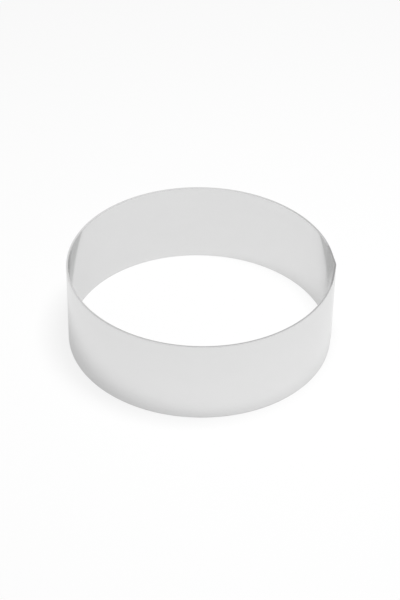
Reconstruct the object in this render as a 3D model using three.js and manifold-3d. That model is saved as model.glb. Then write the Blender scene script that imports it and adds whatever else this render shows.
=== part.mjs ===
// Cake ring: one strip of stainless steel, rolled into a hoop and butt-welded along a single upright seam.
// Millimetres, +Z up. The origin is on the hoop's axis, level with its lower edge, and the seam is on +X.
import * as THREE from "three";
import { mergeVertices } from "three/addons/utils/BufferGeometryUtils.js";
import Module from "manifold-3d";

// The hoop: the bore sets the size of the cake, and the strip is as wide as the ring is high.
const BORE_DIAMETER = 180;
const HEIGHT = 60;
const WALL = 1.5;
const EDGE_RADIUS = 0.3; // the sheared edges of the strip are deburred round

// The rolls can't bend the last stretch at each end of the strip, so the hoop comes to a slight peak at the seam.
const STRAIGHT_END = 14;

// The weld: the melted zone across the seam. It is dressed nearly flush, which takes the point off the peak and
// leaves a low crown outside and a low root inside, measured from the strip's faces where they meet the weld.
const WELD_WIDTH = 2.6;
const WELD_CROWN = 0.05;
const WELD_ROOT = 0.05;

// Facets of the round stretch, of each rounded edge and of the bead's bowed faces.
const HOOP_FACETS = 180;
const EDGE_FACETS = 3;
const BEAD_FACETS = 8;

const boreRadius = BORE_DIAMETER / 2;
const outerRadius = boreRadius + WALL;
const middleRadius = boreRadius + WALL / 2;

// Each straight end leaves the round stretch at this angle from the seam, as a tangent.
const tangentAngle = Math.atan(STRAIGHT_END / middleRadius);

const wasm = await Module();
wasm.setup();

// A closed geometry as a solid that can be cut.
function solidOf(geometry) {
  const bare = geometry.clone();
  bare.deleteAttribute("normal");
  bare.deleteAttribute("uv");
  const merged = mergeVertices(bare);
  const mesh = new wasm.Mesh({
    numProp: 3,
    vertProperties: merged.attributes.position.array,
    triVerts: new Uint32Array(merged.index.array),
  });
  return new wasm.Manifold(mesh);
}

// A solid back as a geometry with flat faces.
function geometryOf(solid) {
  const { vertProperties, triVerts } = solid.getMesh();
  const indexed = new THREE.BufferGeometry();
  indexed.setAttribute("position", new THREE.BufferAttribute(vertProperties, 3));
  indexed.setIndex(new THREE.BufferAttribute(triVerts, 1));
  const flat = indexed.toNonIndexed();
  flat.computeVertexNormals();
  return flat;
}

// A plan shape raised to the ring's height, with its upper and lower edges rounded.
function raised(shape, curveSegments) {
  const geometry = new THREE.ExtrudeGeometry(shape, {
    depth: HEIGHT - 2 * EDGE_RADIUS,
    curveSegments,
    bevelThickness: EDGE_RADIUS,
    bevelSize: EDGE_RADIUS,
    bevelOffset: -EDGE_RADIUS,
    bevelSegments: EDGE_FACETS,
  });
  return geometry.translate(0, 0, EDGE_RADIUS);
}

// Where a straight end's face lies along X at the distance y from the seam, for the wall face of this radius.
function straightFaceX(radius, y) {
  return (radius - Math.abs(y) * Math.sin(tangentAngle)) / Math.cos(tangentAngle);
}

// One wall face of the hoop seen from above: the round stretch and its two tangents, which meet at the seam.
function hoopOutline(path, radius) {
  path.moveTo(straightFaceX(radius, 0), 0);
  path.lineTo(radius * Math.cos(tangentAngle), radius * Math.sin(tangentAngle));
  path.absarc(0, 0, radius, tangentAngle, 2 * Math.PI - tangentAngle, false);
  path.closePath();
  return path;
}

function hoopGeometry() {
  const plan = hoopOutline(new THREE.Shape(), outerRadius);
  plan.holes.push(hoopOutline(new THREE.Path(), boreRadius));
  return raised(plan, HOOP_FACETS / 2);
}

// The zone that melts when the seam is welded. The strip ends at its two faces, and the weld fills it.
function meltedZoneGeometry() {
  const zone = new THREE.BoxGeometry(outerRadius, WELD_WIDTH, 2 * HEIGHT);
  return zone.translate(outerRadius, 0, HEIGHT / 2);
}

// The weld bead seen from above: two bowed faces that start from the wall's faces where the strip ends.
// The plan runs on straight past the melted zone, so that the corners of its ends are cut away.
function beadGeometry() {
  const half = WELD_WIDTH / 2;
  const end = half + 2 * EDGE_RADIUS;
  const crownEdge = straightFaceX(outerRadius, half);
  const crownTop = crownEdge + WELD_CROWN;
  const rootEdge = straightFaceX(boreRadius, half);
  const rootTop = rootEdge - WELD_ROOT;
  const plan = new THREE.Shape();
  plan.moveTo(crownEdge, -end);
  plan.lineTo(crownEdge, -half);
  plan.quadraticCurveTo(2 * crownTop - crownEdge, 0, crownEdge, half);
  plan.lineTo(crownEdge, end);
  plan.lineTo(rootEdge, end);
  plan.lineTo(rootEdge, half);
  plan.quadraticCurveTo(2 * rootTop - rootEdge, 0, rootEdge, -half);
  plan.lineTo(rootEdge, -end);
  plan.closePath();
  return raised(plan, BEAD_FACETS);
}

const steel = new THREE.MeshStandardMaterial({ color: 0xd9d9d9, metalness: 1, roughness: 0.2 });
const dressedSteel = new THREE.MeshStandardMaterial({ color: 0xcfcfcf, metalness: 1, roughness: 0.35 });

function piece(name, solid, material) {
  const mesh = new THREE.Mesh(geometryOf(solid), material);
  mesh.name = name;
  return mesh;
}

const hoop = solidOf(hoopGeometry());
const meltedZone = solidOf(meltedZoneGeometry());
const band = hoop.subtract(meltedZone);
const weld = solidOf(beadGeometry()).intersect(meltedZone);

const cakeRing = new THREE.Group();
cakeRing.name = "cake_ring";
cakeRing.add(piece("band", band, steel));
cakeRing.add(piece("seam_weld", weld, dressedSteel));

export default cakeRing;
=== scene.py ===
from math import atan, atan2, cos, pi, radians, sin, tan, tau

import bmesh
import bpy
from mathutils import Matrix, Vector


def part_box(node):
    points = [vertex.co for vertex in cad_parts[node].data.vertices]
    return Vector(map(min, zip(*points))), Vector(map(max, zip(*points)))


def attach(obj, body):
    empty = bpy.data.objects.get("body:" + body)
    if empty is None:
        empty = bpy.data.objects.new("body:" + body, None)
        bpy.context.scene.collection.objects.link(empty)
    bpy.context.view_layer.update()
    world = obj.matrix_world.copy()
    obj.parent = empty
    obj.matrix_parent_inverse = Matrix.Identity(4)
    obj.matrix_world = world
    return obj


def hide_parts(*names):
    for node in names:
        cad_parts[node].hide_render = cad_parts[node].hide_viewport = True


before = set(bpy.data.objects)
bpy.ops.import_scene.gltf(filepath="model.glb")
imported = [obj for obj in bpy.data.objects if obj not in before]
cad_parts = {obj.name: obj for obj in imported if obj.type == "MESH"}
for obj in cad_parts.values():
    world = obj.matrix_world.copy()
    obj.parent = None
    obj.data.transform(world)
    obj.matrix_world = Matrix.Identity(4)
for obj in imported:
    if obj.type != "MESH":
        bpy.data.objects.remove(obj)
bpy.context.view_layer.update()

# Camera: a long lens in front of the ring and well above it, with the seam on its right. It is turned
# a little about its own axis, so the ring leans slightly down to the right.
IMAGE_SIZE = (400, 600)
FOCAL_LENGTH_PX = 1850.6
SENSOR_SIZE = 36.0
CAMERA_DISTANCE = 1.2802
CAMERA_ELEVATION = radians(37.67)
CAMERA_AZIMUTH = radians(-0.62)
CAMERA_ROLL = radians(0.98)
AIM_POINT = Vector((0, 0, 0.0278))

to_camera = Vector((
    sin(CAMERA_AZIMUTH) * cos(CAMERA_ELEVATION),
    -cos(CAMERA_AZIMUTH) * cos(CAMERA_ELEVATION),
    sin(CAMERA_ELEVATION),
))
camera = bpy.data.objects.new("camera", bpy.data.cameras.new("camera"))
camera.data.sensor_width = SENSOR_SIZE
camera.data.lens = FOCAL_LENGTH_PX * SENSOR_SIZE / max(IMAGE_SIZE)
camera.location = AIM_POINT + CAMERA_DISTANCE * to_camera
level_view = to_camera.to_track_quat("Z", "Y").to_matrix()
camera.rotation_euler = (level_view @ Matrix.Rotation(CAMERA_ROLL, 3, "Z")).to_euler()
bpy.context.scene.collection.objects.link(camera)
bpy.context.scene.camera = camera

# Band: one strip of bright stainless sheet, sheared to width, deburred along both edges and rolled into
# a hoop. The rolls leave the last stretch at each end straight, so the ends run on as tangents.
WALL = 0.0015
EDGE_RADIUS = 0.0003
STRAIGHT_END = 0.014
EDGE_SEGMENTS = 5
HOOP_STEPS = 720
MERGE_DISTANCE = 1e-7
LEAST_EDGE_SLOPE = 0.1
LARGEST_FACE_LEADS = 100
OUTSIDE, INSIDE, EDGE = 0, 1, 2

band_low, band_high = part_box("band")
_, weld_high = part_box("seam_weld")
height = band_high.z
mean_radius = -band_low.y - WALL / 2
tangent_angle = atan(STRAIGHT_END / mean_radius)
strip_end_y = weld_high.y


def sheared_section(mesh, thickness):
    """The strip cut across: upright in the XZ plane, standing on z = 0, its four corners deburred round."""
    bmesh.ops.create_grid(mesh, x_segments=1, y_segments=1, size=0.5)
    bmesh.ops.scale(mesh, verts=mesh.verts, vec=(thickness, height, 1))
    bmesh.ops.rotate(mesh, verts=mesh.verts, matrix=Matrix.Rotation(pi / 2, 3, "X"))
    bmesh.ops.bevel(
        mesh, geom=mesh.verts[:], offset=EDGE_RADIUS, segments=EDGE_SEGMENTS,
        profile=0.5, affect="VERTICES", material=-1,
    )
    bmesh.ops.translate(mesh, verts=mesh.verts, vec=(0, 0, height / 2))
    return mesh.faces[:][0]


strip = bmesh.new()
first_section = sheared_section(strip, WALL)
bmesh.ops.translate(strip, verts=strip.verts, vec=(mean_radius, 0, 0))
bmesh.ops.rotate(strip, verts=strip.verts, matrix=Matrix.Rotation(tangent_angle, 3, "Z"))
hoop = bmesh.ops.spin(
    strip, geom=strip.verts[:] + strip.edges[:] + strip.faces[:], axis=(0, 0, 1), cent=(0, 0, 0),
    angle=tau - 2 * tangent_angle, steps=HOOP_STEPS,
)
last_section = next(part for part in hoop["geom_last"] if isinstance(part, bmesh.types.BMFace))
for section, side in ((first_section, 1), (last_section, -1)):
    grown = bmesh.ops.extrude_face_region(strip, geom=[section])["geom"]
    towards_seam = Vector((sin(tangent_angle), -side * cos(tangent_angle), 0))
    for part in grown:
        if isinstance(part, bmesh.types.BMVert):
            part.co += towards_seam * (abs(part.co.y) - strip_end_y) / cos(tangent_angle)
        if isinstance(part, bmesh.types.BMFace):
            for edge in part.edges:
                edge.smooth = False
bmesh.ops.delete(strip, geom=[first_section, last_section], context="FACES_ONLY")
bmesh.ops.remove_doubles(strip, verts=strip.verts, dist=MERGE_DISTANCE)
bmesh.ops.recalc_face_normals(strip, faces=strip.faces)

# The map of the strip, in metres: along it from the side opposite the seam, and up from its lower edge.
strip_map = strip.loops.layers.uv.new("strip")
for face in strip.faces:
    face.smooth = True
    outward = face.normal.xy.dot(face.calc_center_median().xy)
    face.material_index = INSIDE if outward < 0 else OUTSIDE
    if abs(face.normal.z) > LEAST_EDGE_SLOPE:
        face.material_index = EDGE
    for loop in face.loops:
        x, y, z = loop.vert.co
        loop[strip_map].uv = (mean_radius * atan2(-y, -x), z)
band_mesh = bpy.data.meshes.new("rolled_band")
strip.to_mesh(band_mesh)
strip.free()
band = bpy.data.objects.new("rolled_band", band_mesh)
bpy.context.scene.collection.objects.link(band)
even_faces = band.modifiers.new("even_faces", "WEIGHTED_NORMAL")
even_faces.weight = LARGEST_FACE_LEADS
even_faces.keep_sharp = True

OUTSIDE_SHADE = 0.732
OUTSIDE_ROUGHNESS = 0.17
# The inside is painted darker than the outside, as shade for the dimmer light within the ring.
INSIDE_SHADE_PAINTED_DARKER = 0.70
INSIDE_ROUGHNESS = 0.10
EDGE_SHADE = 0.72
EDGE_ROUGHNESS = 0.13
GRAIN_STRETCH = 0.90
ACROSS_GRAIN = 0.25
# The zone beside the seam that the weld's grinder ran over, also painted darker as shade.
DRESSED_AND_SHADED_REACH = 0.023
DRESSED_AND_SHADED_RAGGED = 0.016
DRESSED_AND_SHADED_FADE = 0.004
# The zone along the edges, worn rougher and also painted darker as shade.
DULL_AND_SHADED_EDGE = 0.0006
DULL_AND_SHADED_FADE = 0.0002
SCRATCH_RUNS = ((0.05, 0.0003, 1.5), (0.035, 0.00025, -6), (0.03, 0.00025, 17))
SCRATCH_LEVELS = (0.80, 0.86)
SPECK_SPACING = 0.009
SPECK_RADIUS = 0.03
SPECK_FADE = 0.01
NICK_LEVELS = (0.62, 0.74)


def new_material(name):
    """A new material and its tree of nodes."""
    material = bpy.data.materials.new(name)
    material.use_nodes = True
    return material, material.node_tree


def add_node(tree, kind, inputs, **settings):
    """Adds a node. An input that is given a socket is linked to it, one that is given a value is set."""
    node = tree.nodes.new("ShaderNode" + kind)
    for name, value in settings.items():
        setattr(node, name, value)
    for name, value in inputs.items():
        if isinstance(value, bpy.types.NodeSocket):
            tree.links.new(value, node.inputs[name])
        else:
            node.inputs[name].default_value = value
    return node


def streaks(tree, place, length, width, turn=0.0, detail=3.0):
    """Noise drawn out to streaks of this length and width, turned by an angle from the strip's length."""
    drawn = add_node(
        tree, "Mapping", {"Vector": place, "Rotation": (0, 0, turn), "Scale": (length, width, 1)},
        vector_type="TEXTURE",
    )
    noise = add_node(tree, "TexNoise", {"Vector": drawn.outputs[0], "Scale": 1, "Detail": detail})
    return noise.outputs["Fac"]


def faded(tree, value, none_at, full_at):
    """0 where the value is at none_at, 1 where it is at full_at, and a smooth step between."""
    step = add_node(
        tree, "MapRange", {"Value": value, "From Min": none_at, "From Max": full_at},
        interpolation_type="SMOOTHSTEP",
    )
    return step.outputs["Result"]


def calculated(tree, operation, *values):
    """One sum of the Math node on these values."""
    return add_node(tree, "Math", dict(enumerate(values)), operation=operation).outputs[0]


def summed(tree, start, *shares):
    """A start value plus a share of each pattern."""
    total = start
    for pattern, share in shares:
        total = calculated(tree, "MULTIPLY_ADD", pattern, share, total)
    return total


def dressed_and_shaded_zone(tree, place):
    """Where the weld's grinder ran on over the strip, also used for painted shade: 1 at the seam, 0 past
    its strokes.
    """
    along = add_node(tree, "SeparateXYZ", {"Vector": place}).outputs["X"]
    from_seam = calculated(tree, "SUBTRACT", pi * mean_radius, calculated(tree, "ABSOLUTE", along))
    strokes = streaks(tree, place, length=0.003, width=0.06)
    reach = summed(tree, DRESSED_AND_SHADED_REACH - DRESSED_AND_SHADED_RAGGED / 2, (strokes, DRESSED_AND_SHADED_RAGGED))
    return faded(tree, calculated(tree, "SUBTRACT", reach, from_seam), -DRESSED_AND_SHADED_FADE, DRESSED_AND_SHADED_FADE)


def bare_metal(tree, shade, roughness, relief):
    """Gives the material's shader a metal's shade, its roughness and its relief in metres."""
    bump = add_node(tree, "Bump", {"Height": relief, "Strength": 1, "Distance": 1})
    shader = tree.nodes["Principled BSDF"]
    shader.inputs["Metallic"].default_value = 1
    tree.links.new(shade, shader.inputs["Base Color"])
    tree.links.new(roughness, shader.inputs["Roughness"])
    tree.links.new(bump.outputs["Normal"], shader.inputs["Normal"])
    return shader


def bright_rolled_steel(name, steel_shade, steel_roughness, grazing_tint, dressing_and_painted_shade, edge_wear_and_painted_shade):
    """Cold-rolled stainless: a fine grain along the strip, cloudy patches, a few scratches and specks."""
    steel, tree = new_material(name)
    place = add_node(tree, "UVMap", {}, uv_map="strip").outputs["UV"]
    up = add_node(tree, "SeparateXYZ", {"Vector": place}).outputs["Y"]
    from_edge = calculated(tree, "PINGPONG", up, height / 2)

    clouds = streaks(tree, place, length=0.03, width=0.014)
    rolling_grain = streaks(tree, place, length=0.06, width=0.0006)
    roll_marks = streaks(tree, place, length=0.008, width=0.15, detail=1.0)
    scratches = 0.0
    for length, width, turn in SCRATCH_RUNS:
        drawn = streaks(tree, place, length, width, radians(turn), detail=0.0)
        scratches = calculated(tree, "MAXIMUM", faded(tree, drawn, *SCRATCH_LEVELS), scratches)
    spots = add_node(
        tree, "TexVoronoi", {"Vector": place, "Scale": 1 / SPECK_SPACING},
        voronoi_dimensions="2D",
    )
    speck_size = add_node(tree, "SeparateXYZ", {"Vector": spots.outputs["Color"]})
    speck_reach = calculated(tree, "MULTIPLY", speck_size.outputs["X"], SPECK_RADIUS)
    within_speck = calculated(tree, "SUBTRACT", speck_reach, spots.outputs["Distance"])
    specks = faded(tree, within_speck, 0.0, SPECK_FADE)
    # Along the edges the steel is worn rougher and painted darker, as shade that widens the rim's dark
    # line.
    edge_zone_noise = streaks(tree, place, length=0.004, width=0.002)
    edge_zone_reach = calculated(tree, "MULTIPLY", edge_zone_noise, 2 * DULL_AND_SHADED_EDGE)
    past_edge_zone = calculated(tree, "SUBTRACT", from_edge, edge_zone_reach)
    dull_and_shaded_edge = faded(tree, past_edge_zone, DULL_AND_SHADED_FADE, -DULL_AND_SHADED_FADE)
    # Beside the seam the strip is ground rougher and painted darker, as shade for the inside's dark band.
    grind_lines = streaks(tree, place, length=0.0012, width=0.08)
    dressed_and_shaded = calculated(tree, "MULTIPLY", dressed_and_shaded_zone(tree, place), grind_lines)

    shade = summed(
        tree, steel_shade,
        (clouds, 0.02), (rolling_grain, 0.02), (specks, -0.10), (scratches, -0.01),
        (dull_and_shaded_edge, -0.09 * edge_wear_and_painted_shade), (dressed_and_shaded, -0.12 * dressing_and_painted_shade),
    )
    roughness = summed(
        tree, steel_roughness,
        (clouds, 0.02), (rolling_grain, 0.02), (scratches, 0.04), (dull_and_shaded_edge, 0.03), (specks, 0.1),
        (dressed_and_shaded, 0.05 * dressing_and_painted_shade),
    )
    relief = summed(
        tree, 0.0,
        (rolling_grain, 3e-7), (roll_marks, 1e-5), (scratches, -3e-7), (specks, -2e-6),
        (dressed_and_shaded, 4e-6 * dressing_and_painted_shade),
    )
    shader = bare_metal(tree, shade, roughness, relief)
    shader.inputs["Anisotropic"].default_value = GRAIN_STRETCH
    shader.inputs["Anisotropic Rotation"].default_value = ACROSS_GRAIN
    shader.inputs["Specular Tint"].default_value = (grazing_tint, grazing_tint, grazing_tint, 1)
    grain_line = add_node(tree, "Tangent", {}, direction_type="UV_MAP", uv_map="strip")
    tree.links.new(grain_line.outputs["Tangent"], shader.inputs["Tangent"])
    return steel


def deburred_steel(name):
    """The strip's sheared edge after the wheel took its burr off: fine nicks along it, painted shade beside
    the weld.
    """
    steel, tree = new_material(name)
    place = add_node(tree, "UVMap", {}, uv_map="strip").outputs["UV"]
    wheel_lines = streaks(tree, place, length=0.012, width=0.0002)
    nicks = faded(tree, streaks(tree, place, length=0.0008, width=0.0004), *NICK_LEVELS)
    # Beside the weld the edge is painted darker, as shade for the dark corner of the rim.
    dressed_and_shaded = dressed_and_shaded_zone(tree, place)
    shade = summed(tree, EDGE_SHADE, (wheel_lines, 0.04), (nicks, -0.08), (dressed_and_shaded, -0.2))
    roughness = summed(tree, EDGE_ROUGHNESS, (wheel_lines, 0.04), (nicks, 0.12))
    relief = summed(tree, 0.0, (wheel_lines, 3e-7), (nicks, -4e-6))
    bare_metal(tree, shade, roughness, relief)
    return steel


outer_steel = bright_rolled_steel(
    "bright_steel_outside", OUTSIDE_SHADE, OUTSIDE_ROUGHNESS,
    grazing_tint=0.97, dressing_and_painted_shade=0.1, edge_wear_and_painted_shade=1.0,
)
# The inside's copy: a darker shade and grazing tint, painted shade for the dimmer light inside the ring.
inner_steel = bright_rolled_steel(
    "bright_steel_inside", INSIDE_SHADE_PAINTED_DARKER, INSIDE_ROUGHNESS,
    grazing_tint=0.87, dressing_and_painted_shade=1.0, edge_wear_and_painted_shade=0.2,
)
edge_steel = deburred_steel("deburred_steel")
for steel in (outer_steel, inner_steel, edge_steel):
    band.data.materials.append(steel)
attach(band, "root")
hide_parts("band")

# Seam weld: the strip's two ends are melted together without filler, which leaves an upright bead of the
# same stainless steel. It is ground nearly flush, which takes the point off the peak and leaves a low
# crown outside and a low root inside.
WELD_CROWN = 0.00005
WELD_ROOT = 0.00005
BEAD_STEPS = 16
RIPPLE_PITCH = 0.0012
RIPPLE_DEPTH = 0.000015
RIPPLE_BOW = 0.0008
RIPPLE_CUTS = 359
SHARP_ANGLE = radians(40)
WELD_SHADE = 0.62
WELD_ROUGHNESS = 0.18
GRIND_WIDTH = 0.0004
GRIND_LENGTH = 0.03
STAIN_SIZE = 0.004
BORDER_START = 0.75
DRESSED, DEBURRED = 0, 1

half_width = weld_high.y
end_thickness = WALL / cos(tangent_angle)
end_x = mean_radius / cos(tangent_angle) - half_width * tan(tangent_angle)

bead = bmesh.new()
sheared_section(bead, end_thickness)
bmesh.ops.translate(bead, verts=bead.verts, vec=(0, half_width, 0))
bmesh.ops.spin(
    bead, geom=bead.verts[:] + bead.edges[:] + bead.faces[:], axis=(0, 0, 1), cent=(0, 0, 0),
    angle=0, steps=BEAD_STEPS, dvec=(0, -2 * half_width / BEAD_STEPS, 0),
)
upright = [edge for edge in bead.edges if edge.calc_length() > height / 2]
bmesh.ops.subdivide_edges(bead, edges=upright, cuts=RIPPLE_CUTS)
for vert in bead.verts:
    outward = vert.co.x / end_thickness + 0.5
    inwards = 1 - (vert.co.y / half_width) ** 2
    ripple = (1 + cos(tau * (vert.co.z + RIPPLE_BOW * inwards) / RIPPLE_PITCH)) / 2
    crown = outward * WELD_CROWN - (1 - outward) * WELD_ROOT - (2 * outward - 1) * RIPPLE_DEPTH * ripple
    vert.co.x += end_x + crown * inwards
bmesh.ops.recalc_face_normals(bead, faces=bead.faces)
for edge in bead.edges:
    edge.smooth = len(edge.link_faces) == 2 and edge.calc_face_angle() < SHARP_ANGLE
strip_map = bead.loops.layers.uv.new("strip")
for face in bead.faces:
    face.smooth = True
    face.material_index = DEBURRED if abs(face.normal.z) > LEAST_EDGE_SLOPE else DRESSED
    for loop in face.loops:
        loop[strip_map].uv = (pi * mean_radius + loop.vert.co.y, loop.vert.co.z)
weld_mesh = bpy.data.meshes.new("dressed_seam")
bead.to_mesh(weld_mesh)
bead.free()
weld = bpy.data.objects.new("dressed_seam", weld_mesh)
bpy.context.scene.collection.objects.link(weld)

dressed_steel, tree = new_material("dressed_weld_steel")
place = add_node(tree, "TexCoord", {}).outputs["Object"]
across = add_node(tree, "SeparateXYZ", {"Vector": place}).outputs["Y"]
from_middle = calculated(tree, "DIVIDE", calculated(tree, "ABSOLUTE", across), half_width)
grinding = add_node(
    tree, "Mapping", {"Vector": place, "Scale": (GRIND_WIDTH, GRIND_WIDTH, GRIND_LENGTH)},
    vector_type="TEXTURE",
)
ground = add_node(tree, "TexNoise", {"Vector": grinding.outputs[0], "Scale": 1, "Detail": 3})
grind_lines = ground.outputs["Fac"]
stains = add_node(tree, "TexNoise", {"Vector": place, "Scale": 1 / STAIN_SIZE, "Detail": 3}).outputs["Fac"]
border = faded(tree, from_middle, BORDER_START, 1.0)
shade = summed(tree, WELD_SHADE, (grind_lines, 0.08), (stains, 0.04), (border, -0.05))
roughness = summed(tree, WELD_ROUGHNESS, (grind_lines, 0.14), (stains, 0.06), (border, 0.05))
relief = summed(tree, 0.0, (grind_lines, 2e-6))
bare_metal(tree, shade, roughness, relief)
weld.data.materials.append(dressed_steel)
weld.data.materials.append(edge_steel)
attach(weld, "root")
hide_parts("seam_weld")

# Floor: a sheet of matt white paper. To the camera and in the steel it glows towards white, so what is
# left of the ring's shadow is faint.
FLOOR_RADIUS = 6.0
FLOOR_SIDES = 64
PAPER_WHITE = 0.9
GLOW_SEEN = 0.81
GLOW_MIRRORED = 0.45

floor_mesh = bmesh.new()
bmesh.ops.create_circle(floor_mesh, cap_ends=True, segments=FLOOR_SIDES, radius=FLOOR_RADIUS)
floor_data = bpy.data.meshes.new("floor")
floor_mesh.to_mesh(floor_data)
floor_mesh.free()
floor = bpy.data.objects.new("floor", floor_data)
bpy.context.scene.collection.objects.link(floor)
white_paper, tree = new_material("white_paper")
white_paper.cycles.emission_sampling = "NONE"
paper = tree.nodes["Principled BSDF"]
paper.inputs["Base Color"].default_value = (PAPER_WHITE, PAPER_WHITE, PAPER_WHITE, 1)
paper.inputs["Roughness"].default_value = 1
paper.inputs["Specular IOR Level"].default_value = 0
rays = add_node(tree, "LightPath", {}).outputs
mirrored = calculated(tree, "MAXIMUM", rays["Is Glossy Ray"], rays["Is Transmission Ray"])
glow_share = summed(tree, 0.0, (rays["Is Camera Ray"], GLOW_SEEN), (mirrored, GLOW_MIRRORED))
glow = add_node(tree, "Emission", {})
seen = add_node(tree, "MixShader", {0: glow_share, 1: paper.outputs[0], 2: glow.outputs[0]})
tree.links.new(seen.outputs[0], tree.nodes["Material Output"].inputs["Surface"])
floor.data.materials.append(white_paper)

# Light: a dim even studio, and a small softbox above the ring on its right that the steel doesn't mirror.
# The steel mirrors a white studio with one dark gap in it, between a white card that stands behind the
# ring, its upper edge falling to the right, and the softbox overhead.
AMBIENT = 0.35
STUDIO_WHITE = 1.0
GAP_GREY = 0.58
GAP_ELEVATION = radians(36.2)
GAP_TILT = radians(28)
GAP_WIDTH = radians(9)
GAP_SOFTNESS = radians(1.7)
KEY_SIZE = 0.33
KEY_PLACE = Vector((0.13, -0.035, 1.0))
KEY_POWER = 7.9

world = bpy.data.worlds.new("studio")
bpy.context.scene.world = world
world.use_nodes = True
tree = world.node_tree
across_gap = (
    sin(GAP_TILT),
    -cos(GAP_TILT) * sin(GAP_ELEVATION),
    cos(GAP_TILT) * cos(GAP_ELEVATION),
)
direction = add_node(tree, "TexCoord", {}).outputs["Generated"]
crossing = add_node(tree, "VectorMath", {0: direction, 1: across_gap}, operation="DOT_PRODUCT")
past_card = crossing.outputs["Value"]
over_card = faded(tree, past_card, sin(-GAP_SOFTNESS), sin(GAP_SOFTNESS))
under_softbox = faded(tree, past_card, sin(GAP_WIDTH + GAP_SOFTNESS), sin(GAP_WIDTH - GAP_SOFTNESS))
gap = calculated(tree, "MULTIPLY", over_card, under_softbox)
studio = summed(tree, STUDIO_WHITE, (gap, GAP_GREY - STUDIO_WHITE))
rays = add_node(tree, "LightPath", {}).outputs
mirrored = calculated(tree, "MAXIMUM", rays["Is Glossy Ray"], rays["Is Transmission Ray"])
seen = calculated(tree, "MAXIMUM", rays["Is Camera Ray"], mirrored)
level = add_node(tree, "Mix", {"Factor": seen, "A": AMBIENT, "B": studio})
background = tree.nodes["Background"]
background.inputs["Color"].default_value = (1, 1, 1, 1)
tree.links.new(level.outputs["Result"], background.inputs["Strength"])

key = bpy.data.objects.new("key_softbox", bpy.data.lights.new("key_softbox", "AREA"))
key.data.shape = "SQUARE"
key.data.size = KEY_SIZE
key.data.energy = KEY_POWER
key.location = KEY_PLACE
key.visible_camera = False
key.visible_glossy = False
bpy.context.scene.collection.objects.link(key)

bpy.context.scene.view_settings.view_transform = "Standard"
